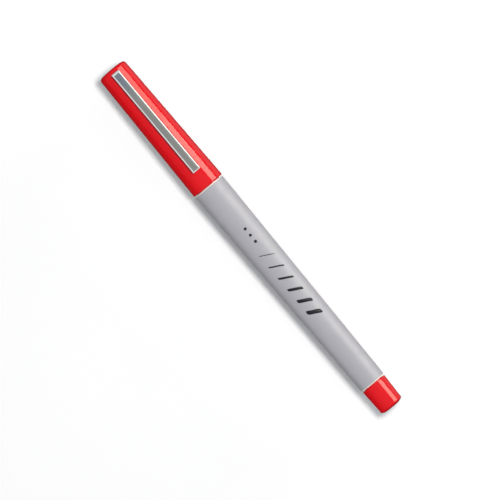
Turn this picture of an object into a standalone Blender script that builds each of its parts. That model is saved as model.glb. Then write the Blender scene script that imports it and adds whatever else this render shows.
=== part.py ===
"""Capped fine-point permanent marker, lying on its side with its pocket clip uppermost.

Each piece is modelled along +Z, from the marker's rear end towards its cap, and from the face that the piece
is set by. A parent empty then lays the whole marker along world +X, with its lowest flat on the ground.
"""

import math

import bmesh
import bpy
from mathutils import Matrix, Vector

MM = 0.001

# Fits between the pieces
SEAT_GAP = 0.3 * MM  # between two faces that butt together
PRESS_CLEARANCE = 0.1 * MM  # radial, between pieces pressed together for good
SLIDE_CLEARANCE = 0.12 * MM  # radial, between the cap and the nose that it slides over

# Barrel, a tapered tube with ribs inside that centre the ink reservoir
BARREL_LENGTH = 79.98 * MM
BARREL_FRONT_DIAMETER = 10.86 * MM
BARREL_REAR_DIAMETER = 8.92 * MM
BARREL_WALL = 1.1 * MM
EDGE_RADIUS = 0.2 * MM  # of the small moulded edges of the barrel, plug and nose
RIB_COUNT = 4
RIB_RISE = 0.2 * MM  # of the reservoir ribs above the rear bore

# End plug, pressed into the rear of the barrel
PLUG_LENGTH = 9.3 * MM  # of the head that shows
PLUG_STEP = 0.12 * MM  # from the barrel's rear edge in to the head
PLUG_END_DIAMETER = 8.1 * MM
PLUG_CROWN = 0.6 * MM
PLUG_FLAT_DIAMETER = 4.0 * MM
PLUG_EDGE_RADIUS = 0.6 * MM
PLUG_WALL = 1.1 * MM
PLUG_SPIGOT_LENGTH = 8.0 * MM

# Nose section, pressed into the front of the barrel: neck, shoulder, sealing land and cone
SECTION_SPIGOT_LENGTH = 8.0 * MM
SECTION_WALL = 1.7 * MM
NECK_LENGTH = 11.5 * MM
SHOULDER_LENGTH = 1.5 * MM
LAND_LENGTH = 4.5 * MM
CONE_LENGTH = 11.0 * MM
NOSE_TIP_DIAMETER = 2.5 * MM
SNAP_SETBACK = 3.5 * MM  # of the snap bead from the neck's end
SNAP_LENGTH = 1.2 * MM
SNAP_BEAD_RISE = 0.06 * MM
SNAP_GROOVE_DEPTH = 0.12 * MM
SPIGOT_BEAD_RISE = 0.05 * MM
SPIGOT_BEAD_LENGTH = 1.0 * MM

# Nib, a plastic rod ground to a fine point
NIB_DIAMETER = 1.4 * MM
NIB_ENGAGEMENT = 5.0 * MM  # depth in the ink reservoir
NIB_STRAIGHT = 1.2 * MM  # of the exposed rod, before its point
NIB_POINT_LENGTH = 3.5 * MM
NIB_TIP_DIAMETER = 0.35 * MM

# Film sheath round the fibre core of the ink reservoir
SHEATH_WALL = 0.2 * MM

# Cap shell
CAP_LENGTH = 47.12 * MM
CAP_OVERHANG = 0.19 * MM  # of the mouth beyond the barrel's front, in radius
CAP_TOP_DIAMETER = 9.92 * MM
CAP_WALL = 0.92 * MM
CAP_CROWN = 0.2 * MM
CAP_FLAT_DIAMETER = 4.0 * MM
CAP_EDGE_RADIUS = 1.2 * MM
CAP_MOUTH_RADIUS = 0.35 * MM

# Inner cap, a cup that seals round the land of the nose section
INNER_CAP_RELIEF = 0.35 * MM  # between its wall and the top of the cap's bore
INNER_CAP_WALL = 0.5 * MM
INNER_CAP_FLANGE = 1.2 * MM
INNER_CAP_RIB_COUNT = 4

# Pocket clip, one strip of sheet steel hooked through a slot in the cap shell
CLIP_SHEET = 0.4 * MM
CLIP_WIDTH = 2.85 * MM
CLIP_TOP_DROP = 1.65 * MM  # from the cap's top to the clip's upper face
CLIP_FOOT_HEIGHT = 5.72 * MM  # of the clip's free end above the cap's mouth
CLIP_RISE = 1.3 * MM  # of the middle of the sheet above the cap's wall
CLIP_ROOT_RADIUS = 0.55 * MM
CLIP_FOLD_RADIUS = 0.4 * MM
CLIP_EDGE_BEVEL = 0.12 * MM
FLANGE_DEPTH = 0.5 * MM
TANG_WIDTH = 2.0 * MM
HOOK_LENGTH = 2.0 * MM
SLOT_CLEARANCE = 0.2 * MM

# Faceting of the round pieces
SEGMENTS = 24
NIB_SEGMENTS = 20
FILLET_STEPS = 2
CROWN_STEPS = 2
MERGE_DISTANCE = 0.001 * MM
SHARP_ANGLE = math.radians(30)


def cap_wall_radius(height):
    """Radius of the cap's outer wall at a height above its mouth."""
    share = height / (CAP_LENGTH - CAP_CROWN)
    return CAP_MOUTH_OUTER + (CAP_TOP_DIAMETER / 2 - CAP_MOUTH_OUTER) * share


def cap_bore_radius(height):
    """Radius of the cap's upper bore, above the part that the neck fills."""
    return cap_wall_radius(height) - CAP_WALL


# Radii and lengths that follow from the sizes above. Heights in the nose and the cap start at the cap's mouth
TOTAL_LENGTH = PLUG_LENGTH + SEAT_GAP + BARREL_LENGTH + SEAT_GAP + CAP_LENGTH
BARREL_FRONT_BORE = BARREL_FRONT_DIAMETER / 2 - BARREL_WALL
BARREL_REAR_BORE = BARREL_REAR_DIAMETER / 2 - BARREL_WALL
SHEATH_RADIUS = BARREL_REAR_BORE - RIB_RISE - PRESS_CLEARANCE
RESERVOIR_RADIUS = SHEATH_RADIUS - SHEATH_WALL - PRESS_CLEARANCE
RESERVOIR_LENGTH = BARREL_LENGTH - PLUG_SPIGOT_LENGTH - SECTION_SPIGOT_LENGTH - 2 * SEAT_GAP
NIB_BORE = NIB_DIAMETER / 2 + PRESS_CLEARANCE
NIB_RUN = NIB_ENGAGEMENT + SECTION_SPIGOT_LENGTH + 2 * SEAT_GAP  # from the nib's rear end to the cap's mouth
CAP_MOUTH_OUTER = BARREL_FRONT_DIAMETER / 2 + CAP_OVERHANG
CAP_MOUTH_BORE = CAP_MOUTH_OUTER - CAP_WALL
TANG_HEIGHT = CAP_LENGTH - CLIP_TOP_DROP - CLIP_SHEET / 2
CAP_CEILING = TANG_HEIGHT + CLIP_SHEET / 2 + SEAT_GAP
NECK_RADIUS = CAP_MOUTH_BORE - SLIDE_CLEARANCE
LAND_HEIGHT = NECK_LENGTH + SHOULDER_LENGTH
NOSE_LENGTH = LAND_HEIGHT + LAND_LENGTH + CONE_LENGTH
SNAP_HEIGHT = NECK_LENGTH - SNAP_SETBACK
INNER_CAP_FOOT = LAND_HEIGHT + SEAT_GAP
INNER_CAP_END = TANG_HEIGHT - HOOK_LENGTH - SEAT_GAP
INNER_CAP_OUTER = cap_bore_radius(INNER_CAP_END) - INNER_CAP_RELIEF
INNER_CAP_BORE = INNER_CAP_OUTER - INNER_CAP_WALL
LAND_RADIUS = INNER_CAP_BORE - SLIDE_CLEARANCE
HINGE_RADIUS = cap_wall_radius(TANG_HEIGHT) - CAP_WALL / 2  # of the line that the clip bends about
AXIS_HEIGHT = CAP_MOUTH_OUTER  # a flat of the cap's mouth lies on the ground


def linear(hex_colour):
    """Linear colour, with alpha, of an sRGB hex colour."""
    channels = [int(hex_colour[i:i + 2], 16) / 255 for i in (0, 2, 4)]
    return [c / 12.92 if c <= 0.04045 else ((c + 0.055) / 1.055) ** 2.4 for c in channels] + [1]


def material(name, hex_colour, roughness, metallic=0.0):
    made = bpy.data.materials.new(name)
    made.use_nodes = True
    shader = made.node_tree.nodes["Principled BSDF"]
    shader.inputs["Base Color"].default_value = linear(hex_colour)
    shader.inputs["Roughness"].default_value = roughness
    shader.inputs["Metallic"].default_value = metallic
    return made


def rounded(corners, steps=FILLET_STEPS):
    """Points through (radius, height) corners. A third number in a corner is the radius of its fillet."""
    points = []
    for i, (radius, height, *fillet) in enumerate(corners):
        here = Vector((radius, height))
        if not fillet:
            points.append(here)
            continue
        before, after = corners[i - 1], corners[(i + 1) % len(corners)]
        back, ahead = Vector(before[:2]) - here, Vector(after[:2]) - here
        half = back.angle(ahead) / 2
        room_back = back.length / 2 if len(before) > 2 else back.length
        room_ahead = ahead.length / 2 if len(after) > 2 else ahead.length
        reach = min(fillet[0] / math.tan(half), room_back, room_ahead)
        inwards = (back.normalized() + ahead.normalized()).normalized()
        centre = here + inwards * (reach / math.cos(half))
        start = here + back.normalized() * reach - centre
        end = here + ahead.normalized() * reach - centre
        turn = math.atan2(start.cross(end), start.dot(end))
        for step in range(steps + 1):
            points.append(centre + Matrix.Rotation(turn * step / steps, 2) @ start)
    return points


def crown(flat_radius, edge_radius, top, fall):
    """Corners of an end face, flat in the middle and then curving away by fall up to its edge."""
    corners = [(0, top)]
    for step in range(CROWN_STEPS):
        share = step / CROWN_STEPS
        corners.append((flat_radius + (edge_radius - flat_radius) * share, top + fall * share**2))
    return corners


def bead(radius, height, length, rise):
    """Corners of a low ridge round a wall."""
    return [(radius, height - length / 2), (radius + rise, height), (radius, height + length / 2)]


def turned(outline, segments=SEGMENTS):
    """Bmesh of an outline of (radius, height) points turned about Z. It closes on itself or on the axis.

    The flats are at the outline's radius, so that a piece is as wide across its flats as the real one.
    """
    mesh = bmesh.new()
    half_step = Matrix.Rotation(math.pi / segments, 3, "Z")
    corner = 1 / math.cos(math.pi / segments)
    verts = [mesh.verts.new(half_step @ Vector((radius * corner, 0, height))) for radius, height in outline]
    pairs = list(zip(verts, verts[1:]))
    if outline[0][0] > 0:
        pairs.append((verts[-1], verts[0]))
    edges = [mesh.edges.new(pair) for pair in pairs]
    bmesh.ops.spin(
        mesh, geom=verts + edges, cent=(0, 0, 0), axis=(0, 0, 1), angle=2 * math.pi, steps=segments,
        use_merge=True
    )
    bmesh.ops.remove_doubles(mesh, verts=mesh.verts, dist=MERGE_DISTANCE)
    bmesh.ops.recalc_face_normals(mesh, faces=mesh.faces)
    return mesh


def raise_ribs(mesh, count, low, high, on_bore, radius_at):
    """Extrudes lengthwise ribs, the first facing +Y, from the wall faces between two heights to a radius."""
    pitch = 2 * math.pi / count
    walls = []
    for face in mesh.faces:
        middle = face.calc_center_median()
        turns = (math.atan2(middle.y, middle.x) - math.pi / 2) / pitch
        on_pitch = abs(turns - round(turns)) * pitch < math.pi / SEGMENTS
        upright = abs(face.normal.z) < face.normal.xy.length
        faces_axis = face.normal.xy.dot(middle.xy) < 0
        if low < middle.z < high and on_pitch and upright and faces_axis == on_bore:
            walls.append(face)
    ribs = bmesh.ops.extrude_discrete_faces(mesh, faces=walls)["faces"]
    for vert in {vert for face in ribs for vert in face.verts}:
        vert.co.xy = vert.co.xy.normalized() * radius_at(vert.co.z) / math.cos(math.pi / SEGMENTS)


def add_piece(name, mesh, finish, parent, location=(0, 0, 0)):
    bmesh.ops.recalc_face_normals(mesh, faces=mesh.faces)
    data = bpy.data.meshes.new(name)
    mesh.to_mesh(data)
    mesh.free()
    data.materials.append(finish)
    data.shade_smooth()
    data.set_sharp_from_angle(angle=SHARP_ANGLE)
    piece = bpy.data.objects.new(name, data)
    bpy.context.scene.collection.objects.link(piece)
    piece.parent = parent
    piece.location = location
    return piece


def add_empty(name, parent=None, location=(0, 0, 0)):
    empty = bpy.data.objects.new(name, None)
    bpy.context.scene.collection.objects.link(empty)
    empty.parent = parent
    empty.location = location
    return empty


def barrel():
    """Tapered tube from its rear face up, with a straight seat in each end and ribs along its bore."""
    rear_seat = PLUG_SPIGOT_LENGTH + SEAT_GAP
    front_seat = BARREL_LENGTH - SECTION_SPIGOT_LENGTH - SEAT_GAP
    mesh = turned(rounded([
        (BARREL_REAR_BORE, 0),
        (BARREL_REAR_DIAMETER / 2, 0, EDGE_RADIUS),
        (BARREL_FRONT_DIAMETER / 2, BARREL_LENGTH, EDGE_RADIUS),
        (BARREL_FRONT_BORE, BARREL_LENGTH),
        (BARREL_FRONT_BORE, front_seat),
        (BARREL_REAR_BORE, rear_seat),
    ]))
    raise_ribs(mesh, RIB_COUNT, rear_seat, front_seat, True, lambda height: BARREL_REAR_BORE - RIB_RISE)
    return mesh


def end_plug():
    """Hollow plug from its end face up: the head that shows, then a spigot with two beads."""
    head = BARREL_REAR_DIAMETER / 2 - PLUG_STEP
    spigot = BARREL_REAR_BORE - PRESS_CLEARANCE
    rim = PLUG_LENGTH + SEAT_GAP + PLUG_SPIGOT_LENGTH
    floor = PLUG_CROWN + PLUG_WALL
    corners = crown(PLUG_FLAT_DIAMETER / 2, PLUG_END_DIAMETER / 2, 0, PLUG_CROWN) + [
        (PLUG_END_DIAMETER / 2, PLUG_CROWN, PLUG_EDGE_RADIUS),
        (head, PLUG_LENGTH, EDGE_RADIUS),
        (spigot, PLUG_LENGTH),
        *bead(spigot, rim - PLUG_SPIGOT_LENGTH * 2 / 3, SPIGOT_BEAD_LENGTH, SPIGOT_BEAD_RISE),
        *bead(spigot, rim - PLUG_SPIGOT_LENGTH / 3, SPIGOT_BEAD_LENGTH, SPIGOT_BEAD_RISE),
        (spigot, rim, EDGE_RADIUS),
        (spigot - PLUG_WALL, rim),
        (spigot - PLUG_WALL, floor),
        (0, floor),
    ]
    return turned(rounded(corners))


def nose_section():
    """Stepped nose from its seat on the barrel up, with a spigot below the seat and a bore for the nib."""
    spigot = BARREL_FRONT_BORE - PRESS_CLEARANCE
    cavity = spigot - SECTION_WALL
    rear = -SEAT_GAP - SECTION_SPIGOT_LENGTH
    return turned(rounded([
        (cavity, rear),
        (spigot, rear, EDGE_RADIUS),
        *bead(spigot, rear + SECTION_SPIGOT_LENGTH / 2, SPIGOT_BEAD_LENGTH, SPIGOT_BEAD_RISE),
        (spigot, 0),
        (NECK_RADIUS, 0),
        *bead(NECK_RADIUS, SNAP_HEIGHT, SNAP_LENGTH, SNAP_BEAD_RISE),
        (NECK_RADIUS, NECK_LENGTH, EDGE_RADIUS),
        (LAND_RADIUS, LAND_HEIGHT, EDGE_RADIUS),
        (LAND_RADIUS, LAND_HEIGHT + LAND_LENGTH, LAND_LENGTH),
        (NOSE_TIP_DIAMETER / 2, NOSE_LENGTH, EDGE_RADIUS),
        (NIB_BORE, NOSE_LENGTH),
        (NIB_BORE, LAND_HEIGHT),
        (cavity, NECK_LENGTH - SECTION_WALL),
    ]))


def nib():
    """Rod from its end in the reservoir up to the rounded tip of its point."""
    point_base = NIB_RUN + NOSE_LENGTH + NIB_STRAIGHT
    tip = point_base + NIB_POINT_LENGTH
    outline = rounded([
        (0, 0),
        (NIB_DIAMETER / 2, 0),
        (NIB_DIAMETER / 2, point_base, NIB_STRAIGHT),
        (NIB_TIP_DIAMETER / 2, tip, NIB_TIP_DIAMETER / 3),
        (0, tip),
    ])
    return turned(outline, NIB_SEGMENTS)


def reservoir_core():
    """Fibre rod with the blind hole that the nib is pushed into."""
    hole_floor = RESERVOIR_LENGTH - NIB_ENGAGEMENT - SEAT_GAP
    return turned([
        (0, 0),
        (RESERVOIR_RADIUS, 0),
        (RESERVOIR_RADIUS, RESERVOIR_LENGTH),
        (NIB_BORE, RESERVOIR_LENGTH),
        (NIB_BORE, hole_floor),
        (0, hole_floor),
    ])


def reservoir_sheath():
    """Film tube round the fibre core."""
    return turned([
        (SHEATH_RADIUS - SHEATH_WALL, 0),
        (SHEATH_RADIUS, 0),
        (SHEATH_RADIUS, RESERVOIR_LENGTH),
        (SHEATH_RADIUS - SHEATH_WALL, RESERVOIR_LENGTH),
    ])


def cap_shell():
    """Tapered cup from its mouth up: a straight bore for the neck, a step, and a tapered upper bore."""
    corners = crown(CAP_FLAT_DIAMETER / 2, CAP_TOP_DIAMETER / 2, CAP_LENGTH, -CAP_CROWN) + [
        (CAP_TOP_DIAMETER / 2, CAP_LENGTH - CAP_CROWN, CAP_EDGE_RADIUS),
        (CAP_MOUTH_OUTER, 0, CAP_MOUTH_RADIUS),
        (CAP_MOUTH_BORE, 0, CAP_MOUTH_RADIUS),
        *bead(CAP_MOUTH_BORE, SNAP_HEIGHT, SNAP_LENGTH, SNAP_GROOVE_DEPTH),
        (CAP_MOUTH_BORE, NECK_LENGTH),
        (cap_bore_radius(LAND_HEIGHT), LAND_HEIGHT),
        (cap_bore_radius(CAP_CEILING), CAP_CEILING),
        (0, CAP_CEILING),
    ]
    return turned(rounded(corners))


def inner_cap():
    """Cup from its mouth up: a flange at the mouth and ribs along its wall that grip the cap's upper bore."""

    def grip(height):
        return cap_bore_radius(height) - PRESS_CLEARANCE

    flange = INNER_CAP_FOOT + INNER_CAP_FLANGE
    rib_foot = flange + INNER_CAP_FLANGE
    ceiling = INNER_CAP_END - INNER_CAP_WALL
    mesh = turned(rounded([
        (0, INNER_CAP_END),
        (INNER_CAP_OUTER, INNER_CAP_END, INNER_CAP_WALL / 2),
        (INNER_CAP_OUTER, rib_foot),
        (INNER_CAP_OUTER, flange),
        (grip(flange), flange),
        (grip(INNER_CAP_FOOT), INNER_CAP_FOOT),
        (INNER_CAP_BORE + INNER_CAP_WALL / 2, INNER_CAP_FOOT),
        (INNER_CAP_BORE, INNER_CAP_FOOT + INNER_CAP_WALL),
        (INNER_CAP_BORE, ceiling),
        (0, ceiling),
    ]))
    raise_ribs(mesh, INNER_CAP_RIB_COUNT, rib_foot, ceiling, False, grip)
    return mesh


def clip_spine():
    """Where the tang widens, and the middle of the bent sheet from the hook round to the foot.

    Its points are (distance from the marker's axis, height above the cap's mouth).
    """
    wall = cap_wall_radius(TANG_HEIGHT)
    hook_face = math.sqrt((wall - CAP_WALL - SEAT_GAP) ** 2 - (TANG_WIDTH / 2) ** 2)
    hook = hook_face - CLIP_SHEET / 2
    foot = CLIP_FOOT_HEIGHT + CLIP_SHEET / 2
    tang_end = wall + SEAT_GAP / 2
    widening = tang_end + CLIP_EDGE_BEVEL / 4
    return widening, rounded([
        (hook, TANG_HEIGHT - HOOK_LENGTH),
        (hook, TANG_HEIGHT, CLIP_FOLD_RADIUS),
        (tang_end, TANG_HEIGHT),
        (tang_end + CLIP_EDGE_BEVEL / 2, TANG_HEIGHT),
        (wall + CLIP_RISE, TANG_HEIGHT, CLIP_ROOT_RADIUS),
        (cap_wall_radius(foot) + CLIP_RISE, foot, CLIP_FOLD_RADIUS),
        (cap_wall_radius(foot) + SEAT_GAP, foot),
    ], FILLET_STEPS + 1)


def sheet_sides(spine):
    """The spine shifted by half the sheet to its outer and to its inner side."""
    outer, inner = [], []
    for i, here in enumerate(spine):
        before = (here - spine[i - 1]).normalized() if i else (spine[1] - here).normalized()
        after = (spine[i + 1] - here).normalized() if i + 1 < len(spine) else before
        along = (before + after).normalized()
        shift = Vector((-along.y, along.x)) * (CLIP_SHEET / 2 / along.dot(after))
        outer.append(here + shift)
        inner.append(here - shift)
    return outer, inner


def fold_flanges(mesh, inner):
    """Extrudes the two edge strips under the arm towards the cap, with their ends cut at a slant."""
    arm = max(range(len(inner) - 1), key=lambda i: (inner[i][0].co - inner[i + 1][0].co).length)
    top, bottom = inner[arm][0].co.copy(), inner[arm + 1][0].co.copy()
    along = (bottom - top).normalized()
    inwards = along.cross(Vector((1, 0, 0)))
    edge_strips = [set(inner[arm][i:i + 2] + inner[arm + 1][i:i + 2]) for i in (0, 2)]
    strips = [face for face in mesh.faces if set(face.verts) in edge_strips]
    for flange in bmesh.ops.extrude_discrete_faces(mesh, faces=strips)["faces"]:
        for vert in flange.verts:
            slant = along if (vert.co - top).length < (vert.co - bottom).length else -along
            vert.co += (inwards + slant) * FLANGE_DEPTH


def pocket_clip():
    """Bent strip about its hinge line in the slot: hook, tang, root bend, flanged arm and folded foot."""
    widening, spine = clip_spine()
    half = CLIP_WIDTH / 2
    columns = (-half, CLIP_SHEET - half, half - CLIP_SHEET, half)
    mesh = bmesh.new()
    layers = []
    for side in sheet_sides(spine):
        rows = []
        for centre, (outward, height) in zip(spine, side):
            narrowing = TANG_WIDTH / CLIP_WIDTH if centre.x < widening else 1
            place = (outward - HINGE_RADIUS, height - TANG_HEIGHT)
            rows.append([mesh.verts.new((across * narrowing, *place)) for across in columns])
        for row, following in zip(rows, rows[1:]):
            for i in range(3):
                mesh.faces.new((row[i], row[i + 1], following[i + 1], following[i]))
        layers.append(rows)
    outer, inner = layers
    for i in range(len(spine) - 1):
        for column in (0, 3):
            mesh.faces.new((outer[i][column], outer[i + 1][column], inner[i + 1][column], inner[i][column]))
    for end in (0, -1):
        for i in range(3):
            mesh.faces.new((outer[end][i], outer[end][i + 1], inner[end][i + 1], inner[end][i]))
    bmesh.ops.recalc_face_normals(mesh, faces=mesh.faces)
    fold_flanges(mesh, inner)
    full_width = [i for i in range(len(spine) - 1) if spine[i].x > widening]
    long_edges = [(outer[i][column], outer[i + 1][column]) for i in full_width for column in (0, 3)]
    edges = [mesh.edges.get(pair) for pair in long_edges]
    bmesh.ops.bevel(
        mesh, geom=edges, offset=CLIP_EDGE_BEVEL, offset_type="OFFSET", segments=1, profile=0.5,
        affect="EDGES", material=-1
    )
    return mesh


def cut_clip_slot(shell, parent):
    """Cuts the slot that the clip's tang passes through out of the cap's wall."""
    mesh = bmesh.new()
    bmesh.ops.create_cube(mesh, size=1)
    size = (TANG_WIDTH + 2 * SLOT_CLEARANCE, 3 * CAP_WALL, CLIP_SHEET + 2 * SLOT_CLEARANCE)
    bmesh.ops.scale(mesh, vec=size, verts=mesh.verts)
    place = (0, HINGE_RADIUS, TANG_HEIGHT)
    cutter = add_piece("clip_slot_cutter", mesh, shell.data.materials[0], parent, place)
    cutter.hide_render = True
    cutter.display_type = "WIRE"
    cut = shell.modifiers.new("clip_slot", "BOOLEAN")
    cut.operation = "DIFFERENCE"
    cut.solver = "EXACT"
    cut.object = cutter


def build():
    for old in list(bpy.data.objects):
        bpy.data.objects.remove(old)

    red_plastic = material("red_gloss_plastic", "CE202B", 0.25)
    grey_plastic = material("grey_satin_plastic", "B7B4B8", 0.45)
    steel = material("brushed_steel", "8B9095", 0.35, 1.0)
    liner_plastic = material("natural_liner_plastic", "E6E2D8", 0.5)
    nib_plastic = material("inked_nib_plastic", "A8252C", 0.5)
    fibre = material("inked_fibre", "B02A30", 0.9)
    film = material("clear_film", "E9E4E4", 0.3)

    marker = add_empty("marker")
    marker.rotation_euler = (math.pi / 2, 0, math.pi / 2)
    marker.location = (-TOTAL_LENGTH / 2, 0, AXIS_HEIGHT)
    barrel_rear = PLUG_LENGTH + SEAT_GAP
    reservoir_rear = barrel_rear + PLUG_SPIGOT_LENGTH + SEAT_GAP
    mouth = barrel_rear + BARREL_LENGTH + SEAT_GAP

    add_piece("end_plug", end_plug(), red_plastic, marker)
    add_piece("barrel", barrel(), grey_plastic, marker, (0, 0, barrel_rear))
    add_piece("reservoir_core", reservoir_core(), fibre, marker, (0, 0, reservoir_rear))
    add_piece("reservoir_sheath", reservoir_sheath(), film, marker, (0, 0, reservoir_rear))
    add_piece("nose_section", nose_section(), red_plastic, marker, (0, 0, mouth))
    add_piece("nib", nib(), nib_plastic, marker, (0, 0, mouth - NIB_RUN))

    cap = add_empty("cap", marker, (0, 0, mouth))
    shell = add_piece("cap_shell", cap_shell(), red_plastic, cap)
    cut_clip_slot(shell, cap)
    add_piece("inner_cap", inner_cap(), liner_plastic, cap)
    add_piece("pocket_clip", pocket_clip(), steel, cap, (0, HINGE_RADIUS, TANG_HEIGHT))


build()
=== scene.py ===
"""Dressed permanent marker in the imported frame: mouldings, a bent steel clip, ink and studio light."""

import math

import bmesh
import bpy
from mathutils import Matrix, Vector


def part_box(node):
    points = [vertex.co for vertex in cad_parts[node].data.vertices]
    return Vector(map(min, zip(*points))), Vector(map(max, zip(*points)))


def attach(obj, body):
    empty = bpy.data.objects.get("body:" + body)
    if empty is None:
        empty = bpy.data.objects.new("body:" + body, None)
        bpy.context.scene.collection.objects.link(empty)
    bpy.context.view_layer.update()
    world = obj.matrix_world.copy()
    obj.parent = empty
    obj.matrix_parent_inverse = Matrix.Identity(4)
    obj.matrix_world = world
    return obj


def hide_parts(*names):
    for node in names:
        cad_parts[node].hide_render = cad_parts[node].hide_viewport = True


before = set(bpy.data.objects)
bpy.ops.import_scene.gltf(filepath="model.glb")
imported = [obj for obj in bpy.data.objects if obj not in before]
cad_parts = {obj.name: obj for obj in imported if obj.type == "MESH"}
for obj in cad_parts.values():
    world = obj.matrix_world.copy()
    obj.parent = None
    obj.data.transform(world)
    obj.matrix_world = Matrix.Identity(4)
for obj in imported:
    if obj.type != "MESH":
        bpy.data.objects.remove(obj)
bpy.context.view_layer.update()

MM = 0.001

# Fineness of the shapes
SEGMENTS = 128  # round the turned pieces
FILLET_STEPS = 8
CROWN_STEPS = 4
FOLD_STEPS = 5
MARK_STEPS = 4  # round each corner of an ink mark
INK_STEP = 0.3 * MM  # between the cuts at which an ink mark bends round the barrel
MERGE_DISTANCE = 0.001 * MM
SHARP_ANGLE = math.radians(35)


def span(node, axis=0):
    """Lowest and highest coordinate of a node of the frame along an axis."""
    low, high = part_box(node)
    return low[axis], high[axis]


# Places along the marker, read from the frame
PLUG_END, PLUG_RIM = span("end_plug")
BARREL_REAR, BARREL_FRONT = span("barrel")
CAP_MOUTH, CAP_TOP = span("cap_shell")
NOSE_REAR, NOSE_TIP = span("nose_section")
NIB_REAR, NIB_TIP = span("nib")
LINER_MOUTH, LINER_END = span("inner_cap")
CLIP_FOOT, CLIP_TOP = span("pocket_clip")
AXIS_HEIGHT = sum(span("cap_shell", 2)) / 2

# Fits between the pieces
SEAT_GAP = 0.3 * MM  # between the clip and the walls that it faces
PRESS_CLEARANCE = 0.1 * MM  # radial, between pieces that are pressed together
SLOT_CLEARANCE = 0.2 * MM  # between the clip's tang and its slot

# Barrel and end plug
EDGE = 0.2 * MM  # radius of the small moulded edges
BARREL_FRONT_RADIUS = 5.43 * MM
BARREL_REAR_RADIUS = 4.46 * MM
BARREL_WALL = 1.1 * MM
SEAT_DEPTH = 8.3 * MM  # of the straight bore in each end of the barrel
HIGHLIGHT_RING_WIDTH = 0.4 * MM  # of the pale ring painted at both ends of the barrel, as a highlight on their edges
PLUG_HEAD_LENGTH = 9.3 * MM
PLUG_HEAD_RADIUS = 4.34 * MM
PLUG_END_RADIUS = 4.05 * MM
PLUG_CROWN = 0.6 * MM
PLUG_EDGE = 0.6 * MM
FLAT_RADIUS = 2.0 * MM  # of the middle of both end faces
CROWN_STOP = 1.1  # edge radii inside the rim at which the crown of an end face stops
GATE_RADIUS = 0.55 * MM  # of the dimple where the mould was filled
GATE_DEPTH = 0.12 * MM

# Cap and liner
CAP_MOUTH_RADIUS = 5.62 * MM
CAP_TOP_RADIUS = 4.96 * MM
CAP_WALL = 0.92 * MM
CAP_CROWN = 0.2 * MM
CAP_EDGE = 1.2 * MM
MOUTH_EDGE = 0.35 * MM
LINER_RADIUS = 3.745 * MM
LINER_WALL = 0.5 * MM
LINER_FLANGE = 1.2 * MM

# Nose section and nib, with heights above the cap's mouth
NOSE_WALL = 1.7 * MM
NECK_LENGTH = 11.5 * MM
NECK_RADIUS = 4.58 * MM
SNAP_HEIGHT = 8.0 * MM
SNAP_HALF = 0.6 * MM
SNAP_BEAD = 0.06 * MM  # rise of the bead on the neck
SNAP_GROOVE = 0.12 * MM  # depth of the groove in the cap
LAND_HEIGHT = 13.0 * MM
LAND_LENGTH = 4.5 * MM
LAND_RADIUS = 3.125 * MM
NOSE_TIP_RADIUS = 1.25 * MM
NIB_RADIUS = 0.7 * MM
NIB_STRAIGHT = 1.2 * MM
NIB_TIP_RADIUS = 0.175 * MM
NIB_TIP_EDGE = 0.7 * NIB_TIP_RADIUS

# Pocket clip, a strip of sheet steel with its long edges folded towards the cap
SHEET = 0.4 * MM
SHEET_EDGE = 0.07 * MM  # width of its tumbled edges
SHEET_CORNER = math.radians(50)  # least angle of an edge that is tumbled
CLIP_HALF = 1.425 * MM
TANG_HALF = 1.0 * MM
TANG_PLACE = CLIP_TOP - SHEET / 2
TANG_RISE = 0.15 * MM  # above the cap's wall, up to where the tang widens
WIDENING = 0.06 * MM  # length in which the tang widens to the clip
CLIP_RISE = 1.5 * MM  # of the outer face above the cap's wall
HOOK_LENGTH = 2.0 * MM
ROOT_BEND = 0.75 * MM
FOOT_BEND = 0.6 * MM
FOLD = 0.45 * MM
FLANGE_DEPTH = 0.9 * MM  # from the outer face to the edge of the folded side
FLANGE_RUN = 1.2 * MM  # in which the fold fades out towards each bend
LEAST_FOLD = 0.15  # share of the fold that is left in the bends
BRIGHT_FOLD = 0.2, 0.9  # shares of the fold between which it is painted bright, as a highlight
BRIGHT_ROOT = 0.9  # share of the root bend that is painted bright, as a highlight
BRIGHT_FOOT = 0.6  # share of the foot bend that is painted bright, as a highlight
PAINTED_REFLECTION_FADE = 2 * MM, 12 * MM  # distances from the root over which the painted reflection turns the steel from bluish to pale

# Ink gauge printed on the barrel: strokes from bold to fine, then dots
PRINT_START = -30.0 * MM  # middle of the boldest stroke
PRINT_PITCH = 4.6 * MM
STROKE_COUNT = 6
STROKE_LENGTH = 4.4 * MM
BOLDEST = 1.5 * MM
FINEST = 0.25 * MM
STROKE_SLANT = math.radians(28)
DOT_COUNT = 3
DOT_SIZE = 0.9 * MM
DOT_START = 0.2  # pitches after the last stroke's own
DOT_PITCH = 0.55  # pitches from dot to dot
MARK_ROUNDING = 0.35  # share of a mark's smaller side that each corner takes
INK_THICKNESS = 0.02 * MM


def cap_wall(place):
    """Radius of the cap's outer wall at a place along the marker."""
    share = (place - CAP_MOUTH) / (CAP_TOP - CAP_CROWN - CAP_MOUTH)
    return CAP_MOUTH_RADIUS + (CAP_TOP_RADIUS - CAP_MOUTH_RADIUS) * share


def barrel_wall(place):
    """Radius of the barrel's outer wall at a place along the marker."""
    share = (place - BARREL_REAR) / (BARREL_FRONT - BARREL_REAR)
    return BARREL_REAR_RADIUS + (BARREL_FRONT_RADIUS - BARREL_REAR_RADIUS) * share


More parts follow.
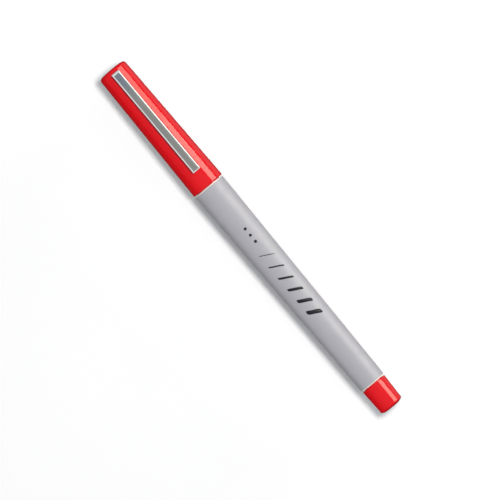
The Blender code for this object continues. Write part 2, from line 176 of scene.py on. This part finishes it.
# Shapes
def rounded(corners):
    """Points through (place, radius) corners. A third number in a corner is the radius of its fillet."""
    points = []
    for i, (place, radius, *fillet) in enumerate(corners):
        here = Vector((place, radius))
        if not fillet:
            points.append(here)
            continue
        before, after = corners[i - 1], corners[(i + 1) % len(corners)]
        back, ahead = Vector(before[:2]) - here, Vector(after[:2]) - here
        half = back.angle(ahead) / 2
        room_back = back.length / 2 if len(before) > 2 else back.length
        room_ahead = ahead.length / 2 if len(after) > 2 else ahead.length
        reach = min(fillet[0] / math.tan(half), room_back, room_ahead)
        inwards = (back.normalized() + ahead.normalized()).normalized()
        centre = here + inwards * (reach / math.cos(half))
        start = here + back.normalized() * reach - centre
        end = here + ahead.normalized() * reach - centre
        turn = math.atan2(start.cross(end), start.dot(end))
        for step in range(FILLET_STEPS + 1):
            points.append(centre + Matrix.Rotation(turn * step / FILLET_STEPS, 2) @ start)
    return points


def end_face(end, edge_radius, crown, edge, inwards):
    """Corners of a crowned end face from its axis out, with the dimple of the mould's gate in the middle.

    inwards is 1 or -1, the way from the end into the piece along X.
    """
    corners = [
        (end + inwards * GATE_DEPTH, 0),
        (end + inwards * GATE_DEPTH, GATE_RADIUS, GATE_DEPTH / 2),
        (end, GATE_RADIUS + GATE_DEPTH, GATE_DEPTH / 2),
        (end, FLAT_RADIUS),
    ]
    crown_edge = edge_radius - edge * CROWN_STOP
    for step in range(1, CROWN_STEPS + 1):
        radius = FLAT_RADIUS + (crown_edge - FLAT_RADIUS) * step / CROWN_STEPS
        share = (radius - FLAT_RADIUS) / (edge_radius - FLAT_RADIUS)
        corners.append((end + inwards * crown * share**2, radius))
    return corners + [(end + inwards * crown, edge_radius, edge)]


def bead(place, radius, half, rise):
    """Corners of a low ridge round an outer wall, or of a groove in a bore."""
    return [(place - half, radius), (place, radius + rise, half), (place + half, radius)]


def finish_mesh(name, mesh):
    """Object of a bmesh, with smooth faces between its sharp edges."""
    data = bpy.data.meshes.new(name)
    mesh.to_mesh(data)
    mesh.free()
    data.shade_smooth()
    data.set_sharp_from_angle(angle=SHARP_ANGLE)
    piece = bpy.data.objects.new(name, data)
    bpy.context.scene.collection.objects.link(piece)
    return piece


def turned(name, corners):
    """Piece turned about the marker's axis. Its outline closes on itself or on the axis."""
    outline = rounded(corners)
    mesh = bmesh.new()
    verts = [mesh.verts.new((place, 0, AXIS_HEIGHT + radius)) for place, radius in outline]
    pairs = list(zip(verts, verts[1:]))
    if corners[0][1] > 0:
        pairs.append((verts[-1], verts[0]))
    edges = [mesh.edges.new(pair) for pair in pairs]
    bmesh.ops.spin(
        mesh, geom=verts + edges, cent=(0, 0, AXIS_HEIGHT), axis=(1, 0, 0), angle=2 * math.pi,
        steps=SEGMENTS, use_merge=True
    )
    bmesh.ops.remove_doubles(mesh, verts=mesh.verts, dist=MERGE_DISTANCE)
    bmesh.ops.recalc_face_normals(mesh, faces=mesh.faces)
    return finish_mesh(name, mesh)


def barrel():
    """Tapered tube with a straight seat in each end."""
    rear_bore = BARREL_REAR_RADIUS - BARREL_WALL
    front_bore = BARREL_FRONT_RADIUS - BARREL_WALL
    return turned("barrel_tube", [
        (BARREL_REAR, rear_bore, EDGE / 2),
        (BARREL_REAR, BARREL_REAR_RADIUS, EDGE),
        (BARREL_FRONT, BARREL_FRONT_RADIUS, EDGE),
        (BARREL_FRONT, front_bore, EDGE / 2),
        (BARREL_FRONT - SEAT_DEPTH, front_bore),
        (BARREL_REAR + SEAT_DEPTH, rear_bore),
    ])


def end_plug():
    """Hollow plug: the head that shows, then the spigot in the barrel."""
    head_rim = PLUG_END + PLUG_HEAD_LENGTH
    spigot = BARREL_REAR_RADIUS - BARREL_WALL - PRESS_CLEARANCE
    bottom = PLUG_END + PLUG_CROWN + BARREL_WALL
    return turned("rear_plug", end_face(PLUG_END, PLUG_END_RADIUS, PLUG_CROWN, PLUG_EDGE, 1) + [
        (head_rim, PLUG_HEAD_RADIUS, EDGE),
        (head_rim, spigot),
        (PLUG_RIM, spigot, EDGE),
        (PLUG_RIM, spigot - BARREL_WALL, EDGE),
        (bottom, spigot - BARREL_WALL, EDGE),
        (bottom, 0),
    ])


def nose_section():
    """Stepped nose: spigot in the barrel, neck with its snap bead, sealing land and cone."""
    spigot = BARREL_FRONT_RADIUS - BARREL_WALL - PRESS_CLEARANCE
    cavity = spigot - NOSE_WALL
    bore = NIB_RADIUS + PRESS_CLEARANCE
    return turned("nose_moulding", [
        (NOSE_REAR, cavity, EDGE / 2),
        (NOSE_REAR, spigot, EDGE),
        (CAP_MOUTH, spigot),
        (CAP_MOUTH, NECK_RADIUS),
        *bead(CAP_MOUTH + SNAP_HEIGHT, NECK_RADIUS, SNAP_HALF, SNAP_BEAD),
        (CAP_MOUTH + NECK_LENGTH, NECK_RADIUS, EDGE * 2),
        (CAP_MOUTH + LAND_HEIGHT, LAND_RADIUS, EDGE * 2),
        (CAP_MOUTH + LAND_HEIGHT + LAND_LENGTH, LAND_RADIUS, LAND_LENGTH),
        (NOSE_TIP, NOSE_TIP_RADIUS, EDGE),
        (NOSE_TIP, bore, EDGE / 2),
        (CAP_MOUTH + LAND_HEIGHT, bore),
        (CAP_MOUTH + NECK_LENGTH - NOSE_WALL, cavity),
    ])


def nib():
    """Rod from its end in the reservoir to the rounded tip of its point."""
    point = NOSE_TIP + NIB_STRAIGHT
    return turned("fibre_nib", [
        (NIB_REAR, 0),
        (NIB_REAR, NIB_RADIUS, EDGE / 2),
        (point, NIB_RADIUS, NIB_STRAIGHT),
        (NIB_TIP, NIB_TIP_RADIUS, NIB_TIP_EDGE),
        (NIB_TIP, 0),
    ])


def cap_shell():
    """Tapered cup: straight bore for the neck, a step, and a tapered upper bore, with the slot cut out."""
    bore = CAP_MOUTH_RADIUS - CAP_WALL
    ceiling = CLIP_TOP + SEAT_GAP
    below_slot = TANG_PLACE - 3 * SHEET  # a ring here keeps the cut faces round the slot short
    step = CAP_MOUTH + LAND_HEIGHT
    shell = turned("cap_moulding", end_face(CAP_TOP, CAP_TOP_RADIUS, CAP_CROWN, CAP_EDGE, -1) + [
        (below_slot, cap_wall(below_slot)),
        (CAP_MOUTH, CAP_MOUTH_RADIUS, MOUTH_EDGE),
        (CAP_MOUTH, bore, MOUTH_EDGE),
        *bead(CAP_MOUTH + SNAP_HEIGHT, bore, SNAP_HALF, SNAP_GROOVE),
        (CAP_MOUTH + NECK_LENGTH, bore, EDGE),
        (step, cap_wall(step) - CAP_WALL, EDGE),
        (ceiling, cap_wall(ceiling) - CAP_WALL, EDGE),
        (ceiling, 0),
    ])
    cut_slot(shell)
    return shell


def cut_slot(shell):
    """Cuts the slot for the clip's tang out of the cap's wall."""
    mesh = bmesh.new()
    bmesh.ops.create_cube(mesh, size=1)
    size = (SHEET + 2 * SLOT_CLEARANCE, 2 * (TANG_HALF + SLOT_CLEARANCE), 3 * CAP_WALL)
    bmesh.ops.scale(mesh, vec=size, verts=mesh.verts)
    middle = AXIS_HEIGHT + cap_wall(TANG_PLACE) - CAP_WALL / 2
    bmesh.ops.translate(mesh, vec=(TANG_PLACE, 0, middle), verts=mesh.verts)
    cutter = finish_mesh("slot_cutter", mesh)
    cut = shell.modifiers.new("slot", "BOOLEAN")
    cut.operation = "DIFFERENCE"
    cut.solver = "EXACT"
    cut.object = cutter
    whole = shell.data
    shown = shell.evaluated_get(bpy.context.evaluated_depsgraph_get())
    shell.data = bpy.data.meshes.new_from_object(shown)
    shell.data.name = shell.name
    shell.modifiers.clear()
    shell.data.shade_smooth()
    shell.data.set_sharp_from_angle(angle=SHARP_ANGLE)
    for spare in (cutter.data, whole):
        bpy.data.meshes.remove(spare)


def inner_cap():
    """Cup with a flange at its mouth that grips the cap's upper bore."""
    grip = cap_wall(LINER_MOUTH) - CAP_WALL - PRESS_CLEARANCE
    flange = LINER_MOUTH + LINER_FLANGE
    bore = LINER_RADIUS - LINER_WALL
    ceiling = LINER_END - LINER_WALL
    return turned("sealing_liner", [
        (LINER_END, 0),
        (LINER_END, LINER_RADIUS, LINER_WALL / 2),
        (flange, LINER_RADIUS, EDGE / 2),
        (flange, grip, EDGE / 2),
        (LINER_MOUTH, grip, EDGE),
        (LINER_MOUTH, bore + LINER_WALL / 2, EDGE / 2),
        (LINER_MOUTH + LINER_WALL, bore, EDGE),
        (ceiling, bore, EDGE),
        (ceiling, 0),
    ])


def clip_section(share, half):
    """(across, inwards) points of the clip's outer skin at a half width, with a share of the full fold."""
    side = []
    for step in range(FOLD_STEPS + 1):
        angle = math.radians(90) * step / FOLD_STEPS
        across = CLIP_HALF - FOLD + FOLD * math.sin(angle)
        side.append((across, FOLD * (1 - math.cos(angle)) * share))
    side.append((CLIP_HALF, FLANGE_DEPTH * share))
    whole = [(-across, inwards) for across, inwards in reversed(side)] + side
    return [(across * half / CLIP_HALF, inwards) for across, inwards in whole]


def clip_rows():
    """Rows of the clip's outer skin, from its hook round to its foot.

    Each is its (place, radius), its direction along the strip, its share of the fold and its half width.
    """
    wall = cap_wall(TANG_PLACE)
    hook = math.sqrt((wall - CAP_WALL - SEAT_GAP) ** 2 - TANG_HALF**2) - SHEET
    foot_wall = cap_wall(CLIP_FOOT)
    shoulder = wall + TANG_RISE
    spine = rounded([
        (TANG_PLACE - HOOK_LENGTH, hook),
        (CLIP_TOP, hook, FOOT_BEND),
        (CLIP_TOP, shoulder),
        (CLIP_TOP, shoulder + WIDENING),
        (CLIP_TOP, wall + CLIP_RISE, ROOT_BEND),
        (CLIP_FOOT, foot_wall + CLIP_RISE, FOOT_BEND),
        (CLIP_FOOT, foot_wall + SEAT_GAP),
    ])
    arm = max(range(len(spine) - 1), key=lambda i: (spine[i + 1] - spine[i]).length)
    start, end = spine[arm], spine[arm + 1]
    run = 1 - FLANGE_RUN / (end - start).length
    stations = [end.lerp(start, run), end.lerp(start, 0.5), start.lerp(end, run)]
    points = spine[:arm + 1] + stations + spine[arm + 1:]
    rows = []
    for i, here in enumerate(points):
        before = points[max(i - 1, 0)]
        after = points[min(i + 1, len(points) - 1)]
        share = 1 if arm < i <= arm + len(stations) else LEAST_FOLD
        half = TANG_HALF if here.y < shoulder + WIDENING / 2 else CLIP_HALF
        rows.append((here, (after - before).normalized(), share, half))
    return rows


def pocket_clip():
    """Strip bent from the hook in the cap through the tang, the root bend and the arm to the foot.

    Each row of its outer skin is extruded from the one before and moved to its place.
    """
    mesh = bmesh.new()
    edges = []
    for here, along, share, half in clip_rows():
        inwards = Vector((-along.y, along.x))
        places = []
        for across, depth in clip_section(share, half):
            place, radius = here + inwards * depth
            places.append((place, across, AXIS_HEIGHT + radius))
        if edges:
            grown = bmesh.ops.extrude_edge_only(mesh, edges=edges)["geom"]
            verts = [item for item in grown if isinstance(item, bmesh.types.BMVert)]
            edges = [item for item in grown if isinstance(item, bmesh.types.BMEdge)]
            verts.sort(key=lambda vert: vert.co.y)
            for vert, place in zip(verts, places):
                vert.co = place
        else:
            verts = [mesh.verts.new(place) for place in places]
            edges = [mesh.edges.new(pair) for pair in zip(verts, verts[1:])]
    bmesh.ops.recalc_face_normals(mesh, faces=mesh.faces)
    arm = max(mesh.faces, key=lambda face: face.calc_area())
    if arm.normal.z < 0:
        bmesh.ops.reverse_faces(mesh, faces=mesh.faces)
    # Faces of the folds and bends that take the pale finish: a painted highlight
    outside = AXIS_HEIGHT + cap_wall(TANG_PLACE)
    for face in mesh.faces:
        middle = face.calc_center_median()
        in_fold = BRIGHT_FOLD[0] * FOLD < CLIP_HALF - abs(middle.y) < BRIGHT_FOLD[1] * FOLD
        in_root = middle.x > CLIP_TOP - BRIGHT_ROOT * ROOT_BEND and middle.z > outside
        in_foot = middle.x < CLIP_FOOT + BRIGHT_FOOT * FOOT_BEND
        face.material_index = int(in_fold or in_root or in_foot)
    clip = finish_mesh("steel_clip", mesh)
    sheet = clip.modifiers.new("sheet", "SOLIDIFY")
    sheet.thickness = SHEET
    sheet.offset = -1
    sheet.use_even_offset = True
    edge = clip.modifiers.new("edge", "BEVEL")
    edge.width = SHEET_EDGE
    edge.segments = 2
    edge.limit_method = "ANGLE"
    edge.angle_limit = SHEET_CORNER
    return clip


def ink_mark(mesh, place, length, width, slant):
    """Adds a rounded mark to a bmesh, laid on the barrel with its length round it and its width along."""
    mark = bmesh.new()
    bmesh.ops.create_grid(mark, x_segments=1, y_segments=1, size=0.5)
    bmesh.ops.scale(mark, vec=(width, length, 1), verts=mark.verts)
    bmesh.ops.bevel(
        mark, geom=list(mark.verts), offset=min(width, length) * MARK_ROUNDING, offset_type="OFFSET",
        segments=MARK_STEPS, profile=0.5, affect="VERTICES", material=-1
    )
    cuts = math.ceil(length / INK_STEP)
    for step in range(1, cuts):
        height = (step / cuts - 0.5) * length
        everything = mark.verts[:] + mark.edges[:] + mark.faces[:]
        bmesh.ops.bisect_plane(mark, geom=everything, plane_co=(0, height, 0), plane_no=(0, 1, 0))
    for vert in mark.verts:
        x = place + vert.co.x + vert.co.y * math.tan(slant)
        radius = barrel_wall(x) + INK_THICKNESS / 2
        angle = vert.co.y / radius
        vert.co = (x, radius * math.sin(angle), AXIS_HEIGHT + radius * math.cos(angle))
    loose = bpy.data.meshes.new("mark")
    mark.to_mesh(loose)
    mark.free()
    mesh.from_mesh(loose)
    bpy.data.meshes.remove(loose)


def printed_gauge():
    """Generic print: slanted strokes from bold to fine, then a row of dots."""
    mesh = bmesh.new()
    for i in range(STROKE_COUNT):
        width = BOLDEST + (FINEST - BOLDEST) * i / (STROKE_COUNT - 1)
        ink_mark(mesh, PRINT_START + i * PRINT_PITCH, STROKE_LENGTH, width, STROKE_SLANT)
    for i in range(DOT_COUNT):
        place = PRINT_START + (STROKE_COUNT + DOT_START + i * DOT_PITCH) * PRINT_PITCH
        ink_mark(mesh, place, DOT_SIZE, DOT_SIZE, slant=0)
    bmesh.ops.recalc_face_normals(mesh, faces=mesh.faces)
    gauge = finish_mesh("printed_gauge", mesh)
    film = gauge.modifiers.new("film", "SOLIDIFY")
    film.thickness = INK_THICKNESS
    film.offset = 0
    return gauge


# Materials, with the sizes of their patterns in millimetres
SCALED = 1 / MM  # size of a pattern whose coordinates a Mapping node has scaled already
NOISE_RANGE = 0.3, 0.7  # that most of a noise texture's values lie in


def linear(hex_colour):
    """Linear colour, with alpha, of an sRGB hex colour."""
    channels = [int(hex_colour[i:i + 2], 16) / 255 for i in (0, 2, 4)]
    return [c / 12.92 if c <= 0.04045 else ((c + 0.055) / 1.055) ** 2.4 for c in channels] + [1]


def per(size):
    """Texture scale that gives features of a size in millimetres."""
    return 1 / (size * MM)


def add_node(tree, kind, inputs=None, **settings):
    """Adds a node with its settings, and sets or links its inputs."""
    made = tree.nodes.new(kind)
    for name, value in settings.items():
        setattr(made, name, value)
    for key, value in (inputs or {}).items():
        socket = made.inputs[key]
        if isinstance(value, bpy.types.NodeSocket):
            tree.links.new(value, socket)
        else:
            socket.default_value = value
    return made


def start_material(name, **sockets):
    """New material with constant shader inputs, its node tree, its shader and its object coordinates."""
    made = bpy.data.materials.new(name)
    made.use_nodes = True
    tree = made.node_tree
    shader = tree.nodes["Principled BSDF"]
    for key, value in sockets.items():
        shader.inputs[key.replace("_", " ")].default_value = value
    return made, tree, shader, add_node(tree, "ShaderNodeTexCoord").outputs["Object"]


def mottled(tree, shader, place, size, low, high):
    """Links a soft variation between two colours to the shader's base colour, and gives it back."""
    cloud = add_node(tree, "ShaderNodeTexNoise", {"Vector": place, "Scale": per(size), "Detail": 3.0})
    tints = {0: cloud.outputs["Fac"], 6: linear(low), 7: linear(high)}
    tint = add_node(tree, "ShaderNodeMix", tints, data_type="RGBA").outputs[2]
    tree.links.new(tint, shader.inputs["Base Color"])
    return tint


def uneven_gloss(tree, shader, place, size, low, high):
    """Links a roughness that wanders between two values to the shader."""
    cloud = add_node(tree, "ShaderNodeTexNoise", {"Vector": place, "Scale": per(size), "Detail": 4.0})
    shares = {"Value": cloud.outputs["Fac"], "From Min": NOISE_RANGE[0], "From Max": NOISE_RANGE[1]}
    shares |= {"To Min": low, "To Max": high}
    spread = add_node(tree, "ShaderNodeMapRange", shares)
    tree.links.new(spread.outputs["Result"], shader.inputs["Roughness"])


def uneven_surface(tree, shader, place, size, depth, detail=2.0):
    """Links a relief of a size and depth in millimetres to the shader, and gives its pattern back."""
    cloud = add_node(tree, "ShaderNodeTexNoise", {"Vector": place, "Scale": per(size), "Detail": detail})
    pattern = cloud.outputs["Fac"]
    bump = add_node(tree, "ShaderNodeBump", {"Height": pattern, "Distance": depth * MM, "Strength": 1.0})
    tree.links.new(bump.outputs["Normal"], shader.inputs["Normal"])
    return pattern


def moulded_red():
    """Glossy red polypropylene: clear highlights, a faint moulding ripple and slightly uneven colour."""
    made, tree, shader, place = start_material("glossy_moulded_polypropylene", IOR=1.46)
    mottled(tree, shader, place, size=5.0, low="E60B17", high="EE0E1A")
    uneven_gloss(tree, shader, place, size=6.0, low=0.075, high=0.09)
    uneven_surface(tree, shader, place, size=1.6, depth=0.0012, detail=1.0)
    return made


def satin_grey():
    """Satin grey polypropylene: soft sheen over the mould's fine grain, with a painted highlight ring at
    each end.

    The grain is drawn a little coarser than a real one, so that it shows close up.
    """
    made, tree, shader, place = start_material("satin_moulded_polypropylene", IOR=1.46)
    tint = mottled(tree, shader, place, size=3.0, low="B0ADB1", high="B7B4B8")
    # Painted highlight: a pale cream ring at each end of the barrel, where light would catch its edges
    along = add_node(tree, "ShaderNodeSeparateXYZ", {0: place}).outputs["X"]
    middle = (BARREL_REAR + BARREL_FRONT) / 2
    reach = (BARREL_FRONT - BARREL_REAR) / 2
    centred = add_node(tree, "ShaderNodeMath", {0: along, 1: middle}, operation="SUBTRACT")
    outwards = add_node(tree, "ShaderNodeMath", {0: centred.outputs["Value"]}, operation="ABSOLUTE")
    shares = {"Value": outwards.outputs["Value"]}
    shares |= {"From Min": reach - HIGHLIGHT_RING_WIDTH, "From Max": reach - HIGHLIGHT_RING_WIDTH / 2}
    painted_highlight_ring = add_node(tree, "ShaderNodeMapRange", shares)
    tints = {0: painted_highlight_ring.outputs["Result"], 6: tint, 7: linear("FFEEE2")}
    ends = add_node(tree, "ShaderNodeMix", tints, data_type="RGBA")
    tree.links.new(ends.outputs[2], shader.inputs["Base Color"])
    uneven_gloss(tree, shader, place, size=2.0, low=0.46, high=0.56)
    uneven_surface(tree, shader, place, size=0.12, depth=0.006)
    return made


def brushed_steel():
    """Rolled stainless strip: streaks along its length, and a painted reflection, bluish at the root bend
    and paler beyond.

    The streaks are drawn wider than real ones, so that they show close up.
    """
    made, tree, shader, place = start_material("brushed_stainless_steel", Metallic=1.0)
    along = add_node(tree, "ShaderNodeSeparateXYZ", {0: place}).outputs["X"]
    # Painted reflection: the base colour runs from bluish at the root bend to pale along the arm, standing
    # in for what the steel reflects
    shares = {"Value": along, "From Min": CLIP_TOP - PAINTED_REFLECTION_FADE[0], "From Max": CLIP_TOP - PAINTED_REFLECTION_FADE[1]}
    painted_fade = add_node(tree, "ShaderNodeMapRange", shares, interpolation_type="SMOOTHSTEP")
    tints = {0: painted_fade.outputs["Result"], 6: linear("B4BCC6"), 7: linear("CFCCC2")}
    painted_reflection = add_node(tree, "ShaderNodeMix", tints, data_type="RGBA")
    scale = (per(9.0), per(0.14), per(0.14))
    stretched = add_node(tree, "ShaderNodeMapping", {"Vector": place, "Scale": scale}).outputs["Vector"]
    streaks = uneven_surface(tree, shader, stretched, size=SCALED, depth=0.001, detail=3.0)
    tints = {0: streaks, 6: linear("E4E4E4"), 7: linear("FFFFFF")}
    shade = add_node(tree, "ShaderNodeMix", tints, data_type="RGBA")
    tints = {0: 1.0, 6: painted_reflection.outputs[2], 7: shade.outputs[2]}
    tint = add_node(tree, "ShaderNodeMix", tints, data_type="RGBA", blend_type="MULTIPLY")
    tree.links.new(tint.outputs[2], shader.inputs["Base Color"])
    uneven_gloss(tree, shader, stretched, size=SCALED, low=0.29, high=0.34)
    return made


def painted_highlight_edge():
    """Painted highlight on the strip's folds and bends: pale and softly scattering, so that they outline
    the clip.
    """
    made, tree, shader, place = start_material("painted_highlight_steel_edge", Metallic=0.15, IOR=1.5)
    mottled(tree, shader, place, size=0.5, low="E4E3DF", high="F4F3F0")
    uneven_gloss(tree, shader, place, size=0.6, low=0.4, high=0.5)
    return made


def natural_liner():
    """Uncoloured polyethylene: waxy and faintly cloudy."""
    made, tree, shader, place = start_material("natural_polyethylene", IOR=1.5, Subsurface_Weight=0.1)
    mottled(tree, shader, place, size=2.5, low="E0DCD1", high="EBE8DF")
    uneven_gloss(tree, shader, place, size=1.5, low=0.42, high=0.55)
    return made


def inked_nib():
    """Acetal rod soaked with ink: darker in its fine lengthwise channels."""
    made, tree, shader, place = start_material("ink_stained_acetal", IOR=1.48)
    scale = (per(2.0), per(0.1), per(0.1))
    stretched = add_node(tree, "ShaderNodeMapping", {"Vector": place, "Scale": scale}).outputs["Vector"]
    mottled(tree, shader, stretched, size=SCALED, low="8E1A22", high="B8323A")
    uneven_gloss(tree, shader, place, size=0.4, low=0.4, high=0.6)
    return made


def inked_fibre():
    """Bonded fibre soaked with ink: matt, with fine lengthwise fibres."""
    made, tree, shader, place = start_material("ink_soaked_fibre", Roughness=0.9)
    scale = (per(4.0), per(0.06), per(0.06))
    stretched = add_node(tree, "ShaderNodeMapping", {"Vector": place, "Scale": scale}).outputs["Vector"]
    mottled(tree, shader, stretched, size=SCALED, low="8F1F26", high="BE3A40")
    uneven_surface(tree, shader, stretched, size=SCALED, depth=0.02)
    return made


def clear_film():
    """Wrapping film: pale, shiny and slightly creased."""
    made, tree, shader, place = start_material("wrapping_film", IOR=1.5)
    mottled(tree, shader, place, size=6.0, low="E2DCDC", high="EEEAEA")
    uneven_gloss(tree, shader, place, size=2.0, low=0.2, high=0.35)
    uneven_surface(tree, shader, place, size=3.0, depth=0.03)
    return made


def printing_ink():
    """Black pad-printed ink: thin, and slightly glossier than the barrel."""
    made, tree, shader, place = start_material("black_printing_ink", IOR=1.5)
    mottled(tree, shader, place, size=0.6, low="17161A", high="242328")
    uneven_gloss(tree, shader, place, size=0.4, low=0.32, high=0.45)
    return made


# The dressed pieces: each rides on its body and stands for its node of the frame
red = moulded_red()
PIECES = [
    (barrel, [satin_grey()], "barrel", "barrel", "grey_satin_plastic"),
    (end_plug, [red], "barrel", "end_plug", "red_gloss_plastic"),
    (nose_section, [red], "barrel", "nose_section", "red_gloss_plastic"),
    (nib, [inked_nib()], "barrel", "nib", "inked_nib_plastic"),
    (cap_shell, [red], "cap", "cap_shell", "red_gloss_plastic"),
    (inner_cap, [natural_liner()], "cap", "inner_cap", "natural_liner_plastic"),
    (pocket_clip, [brushed_steel(), painted_highlight_edge()], "clip", "pocket_clip", "brushed_steel"),
]
for make, finishes, body, node, slot in PIECES:
    piece = make()
    for finish in finishes:
        piece.data.materials.append(finish)
    piece.visible_diffuse = red not in finishes  # so that the floor and the barrel take on no red
    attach(piece, body)
    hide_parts(node)
gauge = printed_gauge()
gauge.data.materials.append(printing_ink())
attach(gauge, "barrel")
for node, finish in (("reservoir_core", inked_fibre()), ("reservoir_sheath", clear_film())):
    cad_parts[node].data.materials.clear()
    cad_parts[node].data.materials.append(finish)

# Studio, in metres and watts
FLOOR_SIZE = 3.0
FLOOR_LIFT = (1.12, 1.09, 1.06, 1)  # of the floor's colour as the camera sees it, so that it shows as white
STRIP_DISTANCE = 0.4
STRIP_LOW, STRIP_HIGH = math.radians(15), math.radians(51.5)  # elevations that the strip lamps fill
STRIPS = [(-0.25, 0.055, 20.7), (0.055, 0.25, 14.5)]  # start, end and watts per square metre of each
STRIP_COLOUR = "FFFEEC"
KEY_DISTANCE = 0.7
KEY_ELEVATION = math.radians(75.5)
KEY_SIZE, KEY_POWER = 0.18, 2.8
FILL_HEIGHT, FILL_SIZE, FILL_POWER = 1.2, 0.8, 1.2
SIDE_DISTANCE, SIDE_HEIGHT = 0.6, 0.08
SIDE_WIDTH, SIDE_DEPTH = 0.4, 0.12
SIDE_POWERS = [(-1, 1.0), (1, 0.7)]  # way along Y and watts of each; the end boxes go the same ways along X
END_DISTANCE, END_HEIGHT = 0.5, 0.3
END_WIDTH, END_DEPTH, END_POWER = 0.2, 0.3, 0.04
SKY = "606060", "ABB1B8"  # at the horizon and overhead
GROUND = "E8E8E8", "404040"  # on its pale side and elsewhere
PALE_SIDE = -0.98, -0.6  # Y of the directions between which the ground turns from pale to dark


def floor():
    """White floor. It gives back less light than the camera sees, so that little comes up to the marker.

    Gloss doesn't see it. The ground of the surroundings stands for it there, and so the red pieces have a
    pale edge on one side alone.
    """
    mesh = bmesh.new()
    bmesh.ops.create_grid(mesh, x_segments=1, y_segments=1, size=FLOOR_SIZE / 2)
    plane = finish_mesh("floor", mesh)
    made, tree, shader, place = start_material("pale_floor", Roughness=0.9, IOR=1.2)
    tint = mottled(tree, shader, place, size=40.0, low="F8F9FA", high="FBFBFC")
    tints = {0: 1.0, 6: tint, 7: FLOOR_LIFT}
    lifted = add_node(tree, "ShaderNodeMix", tints, data_type="RGBA", blend_type="MULTIPLY")
    seen = add_node(tree, "ShaderNodeLightPath").outputs["Is Camera Ray"]
    tints = {0: seen, 6: linear("B8B8B8"), 7: lifted.outputs[2]}
    shade = add_node(tree, "ShaderNodeMix", tints, data_type="RGBA")
    tree.links.new(shade.outputs[2], shader.inputs["Base Color"])
    plane.data.materials.append(made)
    plane.visible_glossy = False


def lamp(name, place, aim, width, height, power, diffuse=True, glossy=True, colour="FFFFFF"):
    """Softbox at a place, facing a point."""
    light = bpy.data.lights.new(name, "AREA")
    light.shape = "RECTANGLE"
    light.size = width
    light.size_y = height
    light.energy = power
    light.color = linear(colour)[:3]
    made = bpy.data.objects.new(name, light)
    bpy.context.scene.collection.objects.link(made)
    made.location = place
    made.rotation_euler = (Vector(aim) - Vector(place)).to_track_quat("-Z", "Y").to_euler()
    made.visible_diffuse = diffuse
    made.visible_glossy = glossy


def lamps():
    """Two strips for the long highlight, a key for the shadow, and weak fills from above and all sides."""
    axis = Vector((0, 0, AXIS_HEIGHT))
    bottom = STRIP_DISTANCE * math.tan(STRIP_LOW)
    top = STRIP_DISTANCE * math.tan(STRIP_HIGH)
    for start, end, strength in STRIPS:
        middle = Vector(((start + end) / 2, 0, (bottom + top) / 2))
        width, height = end - start, top - bottom
        place = middle - Vector((0, STRIP_DISTANCE, 0))
        power = strength * width * height
        lamp("strip", place, middle, width, height, power, diffuse=False, colour=STRIP_COLOUR)
    key = Vector((0, -math.cos(KEY_ELEVATION), math.sin(KEY_ELEVATION))) * KEY_DISTANCE
    lamp("key", key, axis, KEY_SIZE, KEY_SIZE, KEY_POWER, glossy=False)
    lamp("fill", (0, 0, FILL_HEIGHT), axis, FILL_SIZE, FILL_SIZE, FILL_POWER, glossy=False)
    for way, power in SIDE_POWERS:
        beside = (0, way * SIDE_DISTANCE, SIDE_HEIGHT)
        lamp("side_fill", beside, axis, SIDE_WIDTH, SIDE_DEPTH, power, glossy=False)
        beyond = (way * END_DISTANCE, 0, END_HEIGHT)
        lamp("end_box", beyond, axis, END_WIDTH, END_DEPTH, END_POWER, diffuse=False)


def surroundings():
    """World that the gloss reflects: a grey sky, paler overhead, and a dark ground with one pale side."""
    world = bpy.data.worlds.new("studio")
    bpy.context.scene.world = world
    world.use_nodes = True
    tree = world.node_tree
    direction = add_node(tree, "ShaderNodeTexCoord").outputs["Generated"]
    parts = add_node(tree, "ShaderNodeSeparateXYZ", {0: direction})
    shares = {"Value": parts.outputs["Z"], "From Min": 0.0, "From Max": 1.0}
    rise = add_node(tree, "ShaderNodeMapRange", shares)
    shares = {"Value": parts.outputs["Y"], "From Min": PALE_SIDE[0], "From Max": PALE_SIDE[1]}
    darkening = add_node(tree, "ShaderNodeMapRange", shares)
    below = add_node(tree, "ShaderNodeMath", {0: parts.outputs["Z"], 1: 0.0}, operation="LESS_THAN")
    tints = {0: rise.outputs["Result"], 6: linear(SKY[0]), 7: linear(SKY[1])}
    sky = add_node(tree, "ShaderNodeMix", tints, data_type="RGBA")
    tints = {0: darkening.outputs["Result"], 6: linear(GROUND[0]), 7: linear(GROUND[1])}
    ground = add_node(tree, "ShaderNodeMix", tints, data_type="RGBA")
    tints = {0: below.outputs["Value"], 6: sky.outputs[2], 7: ground.outputs[2]}
    around = add_node(tree, "ShaderNodeMix", tints, data_type="RGBA")
    tree.links.new(around.outputs[2], tree.nodes["Background"].inputs["Color"])


# Camera: looks down on the marker, square to its axis, leaning a little towards the side of its shadow
CAMERA_DISTANCE = 1.5
CAMERA_LEAN = math.radians(2.5)
CAMERA_REACH = 10
SENSOR_WIDTH = 36
FRAME_WIDTH = 156.1 * MM  # of the picture at the height of the marker's axis
PICTURE_RIGHT = Vector((-0.64102, -0.76753, 0))  # direction of the picture's right in the frame
TARGET = Vector((-2.43 * MM, 2.85 * MM, AXIS_HEIGHT))  # in the middle of the picture


def camera():
    """Camera over the target, whose distance and picture width set its lens."""
    lens = bpy.data.cameras.new("camera")
    lens.sensor_width = SENSOR_WIDTH
    lens.lens = lens.sensor_width * CAMERA_DISTANCE / FRAME_WIDTH
    lens.clip_end = CAMERA_REACH
    made = bpy.data.objects.new("camera", lens)
    bpy.context.scene.collection.objects.link(made)
    up = Vector((0, 0, 1))
    turn = Matrix((PICTURE_RIGHT, up.cross(PICTURE_RIGHT), up)).transposed()
    turn = Matrix.Rotation(-CAMERA_LEAN, 3, "X") @ turn
    made.matrix_world = Matrix.Translation(TARGET + turn.col[2] * CAMERA_DISTANCE) @ turn.to_4x4()
    bpy.context.scene.camera = made


floor()
lamps()
surroundings()
camera()
bpy.context.scene.view_settings.view_transform = "Standard"
